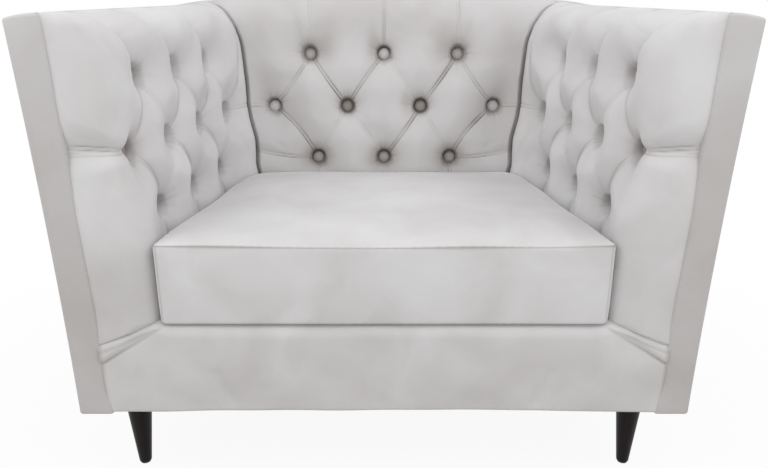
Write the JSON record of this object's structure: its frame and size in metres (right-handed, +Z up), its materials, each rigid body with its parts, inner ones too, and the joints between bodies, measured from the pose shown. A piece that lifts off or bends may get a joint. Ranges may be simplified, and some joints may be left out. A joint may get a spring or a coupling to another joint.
{
  "type": "upholstered armchair",
  "caption": "Low square armchair with flared, deep-buttoned arms, a deep-buttoned reclined back, a loose box seat cushion and tapered dark wooden legs.",
  "frame": {"origin": "on the floor, under the middle of the overall box", "axes": "+Z up, +Y towards the back of the chair, so the sitter faces -Y; +X to the right seen from the front"},
  "size_m": [1.12, 0.75, 0.85],
  "materials": {
    "velvet": "short-pile off-white velvet",
    "frame_timber": "planed, unfinished",
    "hardboard": "smooth board",
    "foam": "open-cell foam",
    "webbing": "woven elastic webbing",
    "hessian": "coarse plain weave",
    "dark_wood": "satin wenge stain",
    "glide_plastic": "moulded",
    "steel": "zinc plated",
    "dust_cloth": "non-woven cloth",
    "zip_tape": "woven tape with nylon coil"
  },
  "bodies": {
    "chair": {"front_rail": "frame_timber", "rear_rail": "frame_timber", "left_side_rail": "frame_timber", "right_side_rail": "frame_timber", "front_left_corner_block": "frame_timber", "front_right_corner_block": "frame_timber", "rear_left_corner_block": "frame_timber", "rear_right_corner_block": "frame_timber", "left_arm_front_post": "frame_timber", "left_arm_rear_post": "frame_timber", "left_arm_top_rail": "frame_timber", "left_arm_base_rail": "frame_timber", "left_arm_inner_board": "hardboard", "left_arm_outer_board": "hardboard", "left_arm_outside_cover": "velvet", "left_arm_foam": "foam", "left_arm_tufted_cover": "velvet", "left_arm_buttons": "velvet", "right_arm_front_post": "frame_timber", "right_arm_rear_post": "frame_timber", "right_arm_top_rail": "frame_timber", "right_arm_base_rail": "frame_timber", "right_arm_inner_board": "hardboard", "right_arm_outer_board": "hardboard", "right_arm_outside_cover": "velvet", "right_arm_foam": "foam", "right_arm_tufted_cover": "velvet", "right_arm_buttons": "velvet", "back_left_post": "frame_timber", "back_right_post": "frame_timber", "back_top_rail": "frame_timber", "back_base_rail": "frame_timber", "back_webbing_upright": "webbing", "back_webbing_across": "webbing", "outside_back_board": "hardboard", "outside_back_cover": "velvet", "back_foam": "foam", "back_tufted_cover": "velvet", "back_buttons": "velvet", "seat_webbing_lengthwise": "webbing", "seat_webbing_crosswise": "webbing", "seat_hessian": "hessian", "seat_base_foam": "foam", "seat_deck_cover": "velvet", "front_border": "velvet", "dust_cover": "dust_cloth", "front_left_leg": "dark_wood", "front_right_leg": "dark_wood", "rear_left_leg": "dark_wood", "rear_right_leg": "dark_wood", "leg_glides": "glide_plastic", "leg_bolts": "steel", "leg_t_nuts": "steel"},
    "cushion": {"cushion_foam": "foam", "cushion_cover": "velvet", "cushion_zip": "zip_tape"},
    "zip_slider": {"zip_slider": "steel"}
  },
  "joints": [
    {"name": "cushion_lift", "type": "slide", "parent": "chair", "child": "cushion", "axis": [0, 0, 1], "range_m": [0, 0.56]},
    {"name": "zip_open", "type": "slide", "parent": "cushion", "child": "zip_slider", "axis": [-1, 0, 0], "range_m": [0, 0.34]}
  ]
}
